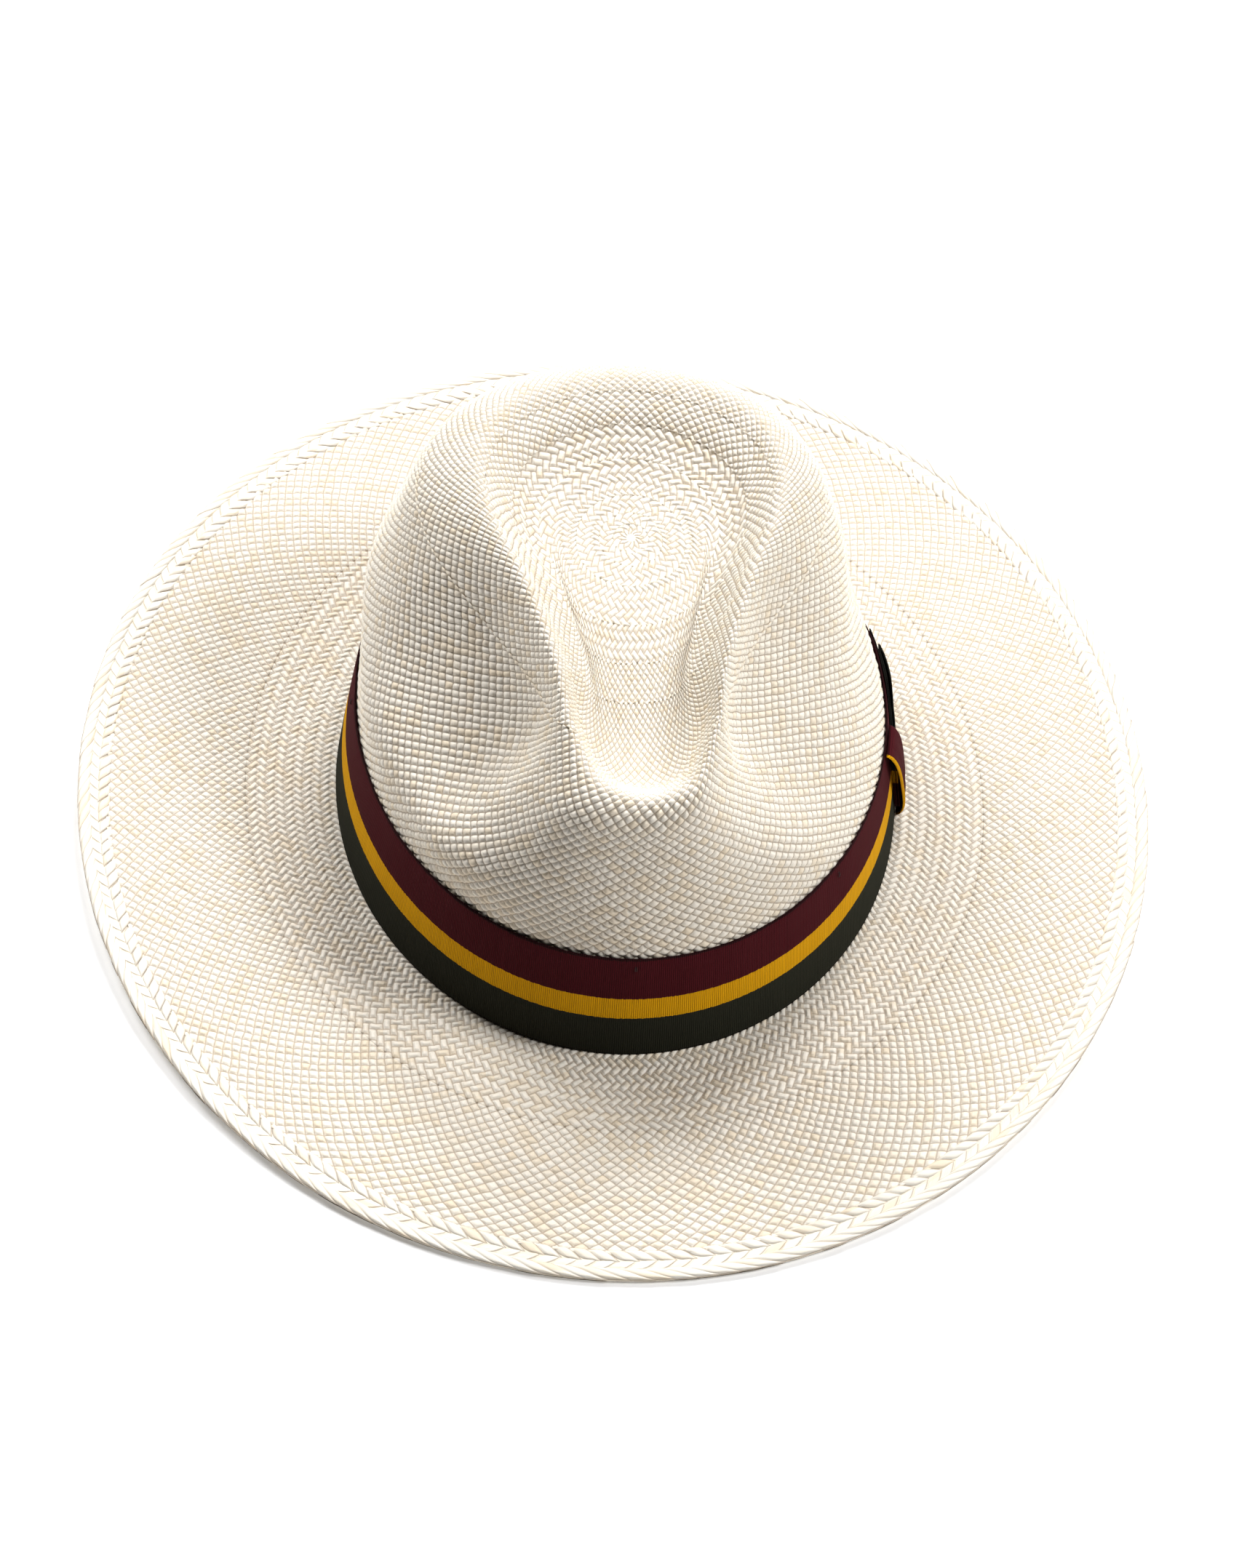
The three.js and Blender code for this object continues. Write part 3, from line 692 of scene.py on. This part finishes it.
def lining_bow():
    """A tiny bow of folded tape sewn over the sweatband's join: two loops and a knot."""
    at = wall(0.5, 22, LINE - LEATHER - GAP - 0.5)
    up = wall(0.5, 23, 0) - wall(0.5, 22, 0)
    up /= np.linalg.norm(up)
    side = np.array([1.0, 0, 0])
    into = np.cross(side, up)
    into *= -np.sign(into @ np.array([0, 1.0, 0]))

    def band(name, path, thick, rows=11):
        """path rows: across, depth, half height, along."""
        path = np.array(path, float)
        fine = catmull(path, np.linspace(0, len(path) - 1, (len(path) - 1) * 6 + 1))
        h = np.linspace(1, -1, rows)[:, None, None]
        x, depth, tall = (fine[None, :, k, None] for k in range(3))
        dip = 0.35 * (1 - h**2)
        grid = at + side * x + into * (depth + dip * 0.6) + up * (h * tall)
        n = np.cross(np.gradient(grid, axis=0), np.gradient(grid, axis=1))
        n /= np.maximum(np.linalg.norm(n, axis=2, keepdims=True), 1e-9)
        cloth = np.stack(np.broadcast_arrays(fine[None, :, 3], (1 - h[:, :, 0]) * 3.5), -1)
        return strip(name, grid - n * thick / 2, grid + n * thick / 2, cloth)

    loops = band("lining_bow_loops", [
        (0, 1.0, 1.2, 0), (3, 1.5, 2.2, 3), (6.5, 1.75, 3.2, 6.5), (8.6, 1.5, 3.5, 9), (9.0, 0.95, 3.5, 10),
        (8.4, 0.5, 3.4, 11), (4, 0.42, 2.4, 15), (0, 0.45, 1.2, 19), (-4, 0.42, 2.4, 23),
        (-8.4, 0.5, 3.4, 27), (-9.0, 0.95, 3.5, 28), (-8.6, 1.5, 3.5, 29), (-6.5, 1.75, 3.2, 31.5),
        (-3, 1.5, 2.2, 35), (-0.4, 1.05, 1.2, 38)], 0.22)
    turn = np.linspace(0, 2 * math.pi, 25)[:-1][None, :]
    w = np.linspace(-1, 1, 7)[:, None]
    knots = []
    for skin in (0.34, 0.0):
        high, deep = 1.75 + skin, 0.75 + skin
        swell = 1 + 0.08 * np.cos(w * math.pi / 2)
        knots.append(at + side * (w * 1.5 + 0 * turn)[..., None]
                     + into * (1.05 + deep * np.cos(turn) * swell)[..., None]
                     + up * (high * np.sin(turn) * swell)[..., None])
    around = np.linspace(0, 10, 25)[None, :]
    knot = strip("lining_bow_knot", knots[0], knots[1],
                 np.stack(np.broadcast_arrays(around, (w + 1) * 1.5), -1), closed=True)
    return loops, knot


tape = seam_tape()
bow_loops, bow_middle = lining_bow()


def tack(name, round_):
    """Two short strands of thread side by side, pulled down into the ribbon at both ends."""
    mesh = Mesh()
    t = np.linspace(0, 1, 13)
    for lean in (-1, 1):
        u = round_ + lean * (0.0003 + 0.00012 * np.sin(math.pi * t))
        z = RIBBON_HIGH - 2.2 - 2.2 * t
        sink = 0.42 * np.abs(2 * t - 1) ** 3
        centre = wall(u, z, BAND_FACE + GAP + 0.22 - sink)
        outwards = wall(u, z, 1.0) - wall(u, z, 0)
        outwards /= np.linalg.norm(outwards, axis=1, keepdims=True)
        lengthways = np.gradient(centre, axis=0)
        lengthways /= np.linalg.norm(lengthways, axis=1, keepdims=True)
        r = 0.15 * np.sqrt(np.clip(1 - np.abs(2 * t - 1) ** 6, 0.08, 1))
        bar(mesh, centre, outwards, np.cross(outwards, lengthways), r, np.arange(8) / 8 * 2 * math.pi)
    return mesh.build(name)


tacks = {name: tack("tack_thread_" + name, round_)
         for name, round_ in (("front", 0), ("right", 0.125), ("back", 0.5), ("left", 0.75))}


# ---- looks ---------------------------------------------------------------------------------------
def node(tree, kind, inputs=None, **settings):
    """A shader node; inputs are linked where they come from another node, and set where they are values."""
    made = tree.nodes.new(kind)
    for key, value in settings.items():
        setattr(made, key, value)
    for key, value in (inputs or {}).items():
        if isinstance(value, bpy.types.NodeSocket):
            tree.links.new(value, made.inputs[key])
        else:
            made.inputs[key].default_value = value
    return made


def maths(tree, operation, *values):
    return node(tree, "ShaderNodeMath", dict(enumerate(values)), operation=operation).outputs[0]


def mix(tree, factor, a, b):
    return node(tree, "ShaderNodeMix", {0: factor, 6: a, 7: b}, data_type="RGBA").outputs[2]


def ramp(tree, value, low, high, out_low=0.0, out_high=1.0):
    return node(tree, "ShaderNodeMapRange", {0: value, 1: low, 2: high, 3: out_low, 4: out_high},
                interpolation_type="SMOOTHSTEP").outputs[0]


def group(name, inputs, outputs):
    made = bpy.data.node_groups.new(name, "ShaderNodeTree")
    for label, kind, default in inputs:
        socket = made.interface.new_socket(label, in_out="INPUT", socket_type=kind)
        if default is not None:
            socket.default_value = default
    for label, kind in outputs:
        made.interface.new_socket(label, in_out="OUTPUT", socket_type=kind)
    return made, node(made, "NodeGroupInput").outputs, node(made, "NodeGroupOutput").inputs


def material(name, roughness):
    made = bpy.data.materials.new(name)
    made.use_nodes = True
    tree = made.node_tree
    shader = tree.nodes["Principled BSDF"]
    shader.inputs["Roughness"].default_value = roughness
    return made, tree, shader


def straw_group():
    """One flat straw: its own tone, fibres along it, rounded edges and tucked-in ends darkened by painted
    shade.
    """
    tree, given, result = group(
        "straw_strand",
        [("Strand", "NodeSocketVector", None), ("Float", "NodeSocketVector", None),
         ("Pale", "NodeSocketColor", (0.86, 0.80, 0.69, 1)),
         ("Tan", "NodeSocketColor", (0.80, 0.66, 0.46, 1)),
         ("Shadow", "NodeSocketColor", (0.42, 0.30, 0.18, 1)), ("Painted Shade", "NodeSocketFloat", 0.75)],
        [("Color", "NodeSocketColor"), ("Height", "NodeSocketFloat"), ("Roughness", "NodeSocketFloat")])
    strand = node(tree, "ShaderNodeSeparateXYZ", {0: given["Strand"]}).outputs
    part = node(tree, "ShaderNodeSeparateXYZ", {0: given["Float"]}).outputs
    number = maths(tree, "FLOOR", strand[0])
    cell = node(tree, "ShaderNodeCombineXYZ", {0: number, 1: maths(tree, "FLOOR", strand[1])})
    each = node(tree, "ShaderNodeTexWhiteNoise", {"Vector": cell.outputs[0]}, noise_dimensions="2D")
    whole = node(tree, "ShaderNodeTexWhiteNoise", {"W": number}, noise_dimensions="1D")
    lines = node(tree, "ShaderNodeCombineXYZ", {0: maths(tree, "MULTIPLY", strand[0], 11.0),
                                                1: maths(tree, "MULTIPLY", strand[1], 0.55)})
    fibre = node(tree, "ShaderNodeTexNoise", {"Vector": lines.outputs[0], "Scale": 1.0, "Detail": 3.0,
                                              "Roughness": 0.6}, noise_dimensions="2D").outputs[0]
    tone = maths(tree, "ADD", maths(tree, "MULTIPLY", each.outputs[0], 0.6),
                 maths(tree, "MULTIPLY", whole.outputs[0], 0.4))
    tinted = mix(tree, ramp(tree, tone, 0.42, 0.95, 0.0, 0.85), given["Pale"], given["Tan"])
    streaked = mix(tree, ramp(tree, fibre, 0.35, 0.75, 0.0, 0.30), tinted, given["Tan"])
    across = maths(tree, "MINIMUM", part[0], maths(tree, "SUBTRACT", 1.0, part[0]))
    ends = maths(tree, "MINIMUM", part[1], maths(tree, "SUBTRACT", 1.0, part[1]))
    side = ramp(tree, across, 0.0, 0.16)
    tuck = ramp(tree, ends, 0.0, 0.14)
    body = maths(tree, "MULTIPLY", side, tuck)
    # painted shade: the colour darkens towards the shadow colour at the strand's edges and tucked-in ends,
    # where it dives under its neighbours
    gap = maths(tree, "MULTIPLY", maths(tree, "SUBTRACT", 1.0, body), given["Painted Shade"])
    tree.links.new(mix(tree, gap, streaked, given["Shadow"]), result["Color"])
    round_ = maths(tree, "MULTIPLY", ramp(tree, across, 0.0, 0.34), ramp(tree, ends, 0.0, 0.28))
    tree.links.new(maths(tree, "ADD", round_, maths(tree, "MULTIPLY", fibre, 0.16)), result["Height"])
    tree.links.new(ramp(tree, fibre, 0.2, 0.8, 0.46, 0.66), result["Roughness"])
    return tree


STRAND = straw_group()


def straw(name, pale, tan, shadow, gap, bump):
    made, tree, shader = material(name, 0.55)
    strand = node(tree, "ShaderNodeUVMap", uv_map="strand").outputs[0]
    part = node(tree, "ShaderNodeUVMap", uv_map="float").outputs[0]
    look = node(tree, "ShaderNodeGroup", node_tree=STRAND)
    tree.links.new(strand, look.inputs["Strand"])
    tree.links.new(part, look.inputs["Float"])
    # shadow and gap set the painted shade at the strands' edges and ends
    for key, value in (("Pale", pale), ("Tan", tan), ("Shadow", shadow), ("Painted Shade", gap)):
        look.inputs[key].default_value = value
    bumped = node(tree, "ShaderNodeBump",
                  {"Strength": bump, "Distance": 0.0004, "Height": look.outputs["Height"]})
    tree.links.new(look.outputs["Color"], shader.inputs["Base Color"])
    tree.links.new(look.outputs["Roughness"], shader.inputs["Roughness"])
    tree.links.new(bumped.outputs[0], shader.inputs["Normal"])
    return made


PALE, TAN, SHADE = (0.84, 0.785, 0.69, 1), (0.78, 0.66, 0.49, 1), (0.24, 0.165, 0.10, 1)
# SHADE and the number after it: the painted shade colour at the strands' edges and ends, and its strength
woven_straw = straw("woven straw", PALE, TAN, SHADE, 0.72, 0.7)
plait_straw = straw("plaited straw", (0.82, 0.78, 0.70, 1), TAN, SHADE, 0.7, 0.5)


def grosgrain_group():
    """Ribbed ribbon: fine ribs across its length and the picks that cross them."""
    tree, given, result = group(
        "grosgrain", [("Cloth", "NodeSocketVector", None), ("Pitch", "NodeSocketFloat", BAND_ROUND / 960)],
        [("Shade", "NodeSocketFloat"), ("Height", "NodeSocketFloat"), ("Across", "NodeSocketFloat")])
    cloth = node(tree, "ShaderNodeSeparateXYZ", {0: given["Cloth"]}).outputs
    rib = maths(tree, "DIVIDE", cloth[0], given["Pitch"])
    wave = maths(tree, "ABSOLUTE", maths(tree, "SINE", maths(tree, "MULTIPLY", rib, math.pi)))
    step = maths(tree, "FLOOR", rib)
    half = maths(tree, "MULTIPLY", maths(tree, "MODULO", step, 2.0), 0.5)
    pick = maths(tree, "ADD", maths(tree, "DIVIDE", cloth[1], 0.42), half)
    thread = maths(tree, "ABSOLUTE", maths(tree, "SINE", maths(tree, "MULTIPLY", pick, math.pi)))
    each = node(tree, "ShaderNodeTexWhiteNoise", {"W": step}, noise_dimensions="1D").outputs[0]
    fuzz = node(tree, "ShaderNodeTexNoise", {"Vector": given["Cloth"], "Scale": 2.2, "Detail": 4.0},
                noise_dimensions="2D").outputs[0]
    shade = maths(tree, "ADD", maths(tree, "MULTIPLY", ramp(tree, wave, 0.0, 0.7), 0.6),
                  maths(tree, "MULTIPLY", fuzz, 0.35))
    shade = maths(tree, "ADD", shade, maths(tree, "MULTIPLY", each, 0.14))
    tree.links.new(shade, result["Shade"])
    tree.links.new(maths(tree, "ADD", wave, maths(tree, "MULTIPLY", thread, 0.3)), result["Height"])
    wobble = maths(tree, "MULTIPLY", maths(tree, "SUBTRACT", each, 0.5), 0.22)
    tree.links.new(maths(tree, "ADD", cloth[1], wobble), result["Across"])
    return tree


GROSGRAIN = grosgrain_group()
BURGUNDY, GOLD, GREEN = (0.062, 0.0045, 0.008, 1), (0.74, 0.36, 0.003, 1), (0.021, 0.022, 0.014, 1)


def ribbon(name):
    made, tree, shader = material(name, 0.85)
    cloth = node(tree, "ShaderNodeUVMap", uv_map="strand").outputs[0]
    look = node(tree, "ShaderNodeGroup", node_tree=GROSGRAIN)
    tree.links.new(cloth, look.inputs["Cloth"])
    across = look.outputs["Across"]
    upper = mix(tree, ramp(tree, across, STRIPES[0] - 0.1, STRIPES[0] + 0.1), BURGUNDY, GOLD)
    dyed = mix(tree, ramp(tree, across, STRIPES[1] - 0.1, STRIPES[1] + 0.1), upper, GREEN)
    lit = mix(tree, ramp(tree, look.outputs["Shade"], 0.1, 0.9, 0.6, 0.0), dyed, (0, 0, 0, 1))
    selvedge = maths(tree, "MINIMUM", across, maths(tree, "SUBTRACT", RIBBON_WIDE, across))
    edged = mix(tree, ramp(tree, selvedge, 0.35, 0.7, 0.7, 0.0), lit, (0.004, 0.003, 0.003, 1))
    tree.links.new(edged, shader.inputs["Base Color"])
    bumped = node(tree, "ShaderNodeBump",
                  {"Strength": 0.7, "Distance": 0.00018, "Height": look.outputs["Height"]})
    tree.links.new(bumped.outputs[0], shader.inputs["Normal"])
    shader.inputs["Specular IOR Level"].default_value = 0.08
    return made


striped_ribbon = ribbon("striped grosgrain")


def leather():
    made, tree, shader = material("tan leather", 0.5)
    place = node(tree, "ShaderNodeTexCoord").outputs["Object"]
    grain = node(tree, "ShaderNodeTexVoronoi", {"Vector": place, "Scale": 1400.0},
                 feature="SMOOTH_F1").outputs[0]
    cloud = node(tree, "ShaderNodeTexNoise", {"Vector": place, "Scale": 60.0, "Detail": 5.0}).outputs[0]
    hide = mix(tree, cloud, (0.36, 0.19, 0.085, 1), (0.50, 0.29, 0.145, 1))
    tree.links.new(hide, shader.inputs["Base Color"])
    bumped = node(tree, "ShaderNodeBump", {"Strength": 0.25, "Distance": 0.0002, "Height": grain})
    tree.links.new(bumped.outputs[0], shader.inputs["Normal"])
    tree.links.new(ramp(tree, cloud, 0.3, 0.7, 0.42, 0.6), shader.inputs["Roughness"])
    return made


def cotton(name, colour, dark, scale):
    made, tree, shader = material(name, 0.82)
    place = node(tree, "ShaderNodeTexCoord").outputs["Object"]
    wave = node(tree, "ShaderNodeTexWave",
                {"Vector": place, "Scale": scale, "Distortion": 1.5, "Detail": 2.0},
                bands_direction="DIAGONAL").outputs[1]
    fuzz = node(tree, "ShaderNodeTexNoise", {"Vector": place, "Scale": 900.0, "Detail": 3.0}).outputs[0]
    tree.links.new(mix(tree, maths(tree, "MULTIPLY", wave, fuzz), dark, colour), shader.inputs["Base Color"])
    bumped = node(tree, "ShaderNodeBump", {"Strength": 0.4, "Distance": 0.0001, "Height": wave})
    tree.links.new(bumped.outputs[0], shader.inputs["Normal"])
    return made


tan_leather = leather()
cream_tape = cotton("cream cotton tape", (0.72, 0.64, 0.5, 1), (0.46, 0.39, 0.29, 1), 700.0)
seam_thread = cotton("waxed thread", (0.80, 0.73, 0.6, 1), (0.5, 0.43, 0.33, 1), 1500.0)
tack_thread = cotton("burgundy thread", (0.05, 0.004, 0.007, 1), (0.02, 0.002, 0.003, 1), 1500.0)


# ---- assembly ------------------------------------------------------------------------------------
def finish(obj, look, slot, *nodes):
    obj.data.materials.clear()
    obj.data.materials.append(look)
    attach(obj, "root")
    if nodes:
        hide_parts(*nodes)


finish(crown_tip, woven_straw, "straw", "woven_crown")
finish(crown_wall, woven_straw, "straw", "woven_crown")
finish(brim_inner, woven_straw, "straw", "woven_brim")
finish(brim_outer, woven_straw, "straw", "woven_brim")
finish(plaited_edge, plait_straw, "straw_braid", "edge_braid")
finish(ribbon_band, striped_ribbon, "ribbon", "hatband_ribbon")
finish(bow_tail, striped_ribbon, "bow_ribbon", "bow_tail")
finish(bow_loop, striped_ribbon, "bow_ribbon", "bow_loop")
finish(bow_knot, striped_ribbon, "bow_ribbon", "bow_knot")
finish(leather_sweatband, tan_leather, "leather", "sweatband")
finish(reed, cream_tape, "lining_tape", "sweatband_reed")
finish(seam, seam_thread, "sweatband_thread", "sweatband_stitching")
finish(tape, cream_tape, "lining_tape", "sweatband_seam_tape")
finish(bow_loops, cream_tape, "lining_tape", "sweatband_bow")
finish(bow_middle, cream_tape, "lining_tape", "sweatband_bow")
for name, piece in tacks.items():
    finish(piece, tack_thread, "ribbon_thread", "ribbon_tack_" + name)

# ---- floor, light and camera -----------------------------------------------------------------------
bpy.ops.mesh.primitive_plane_add(size=6, location=(0, 0, 0))
floor = bpy.context.object
floor.name = "floor"
paper, tree, shader = material("white ground", 0.9)
shader.inputs["Base Color"].default_value = (0.93, 0.93, 0.93, 1)
shader.inputs["Specular IOR Level"].default_value = 0.1
shader.inputs["Emission Color"].default_value = (1, 1, 1, 1)
shader.inputs["Emission Strength"].default_value = 0.16
floor.data.materials.append(paper)

world = bpy.data.worlds.new("studio")
bpy.context.scene.world = world
world.use_nodes = True
world.node_tree.nodes["Background"].inputs[0].default_value = (1.0, 1.0, 1.0, 1)
world.node_tree.nodes["Background"].inputs[1].default_value = 0.02


def towards(turn, height):
    """A direction turned round the hat from the front towards +X, and raised by height."""
    return Vector((math.sin(turn) * math.cos(height), -math.cos(turn) * math.cos(height), math.sin(height)))


def softbox(name, turn, height, size, power):
    """A round softbox aimed at the hat, turned round it from the front towards +X."""
    at = towards(turn, height) * 2.0
    lamp = bpy.data.lights.new(name, "AREA")
    lamp.shape, lamp.size, lamp.energy = "DISK", size, power
    obj = bpy.data.objects.new(name, lamp)
    bpy.context.scene.collection.objects.link(obj)
    obj.location = at + Vector((0, 0, 0.05))
    obj.rotation_euler = at.to_track_quat("Z", "Y").to_euler()


for name, turn, height, size, power in (
        ("side", 78, 48, 0.7, 31), ("back", 160, 48, 0.8, 29), ("rim", 215, 46, 0.8, 24),
        ("left", 232, 42, 0.8, 13)):
    softbox(name, math.radians(turn), math.radians(height), size, power)

camera = bpy.data.objects.new("camera", bpy.data.cameras.new("camera"))
bpy.context.scene.collection.objects.link(camera)
view_from = towards(math.radians(-5.7), math.radians(50.07))
camera.location = Vector((0.00476, 0.00684, -0.0124)) + view_from
camera.rotation_euler = (view_from.to_track_quat("Z", "Y").to_matrix()
                         @ Matrix.Rotation(math.radians(4.14), 3, "Z")).to_euler()
camera.data.sensor_width = 36
camera.data.lens = 73.47
camera.data.clip_start, camera.data.clip_end = 0.05, 20
bpy.context.scene.camera = camera
bpy.context.scene.view_settings.view_transform = "Standard"
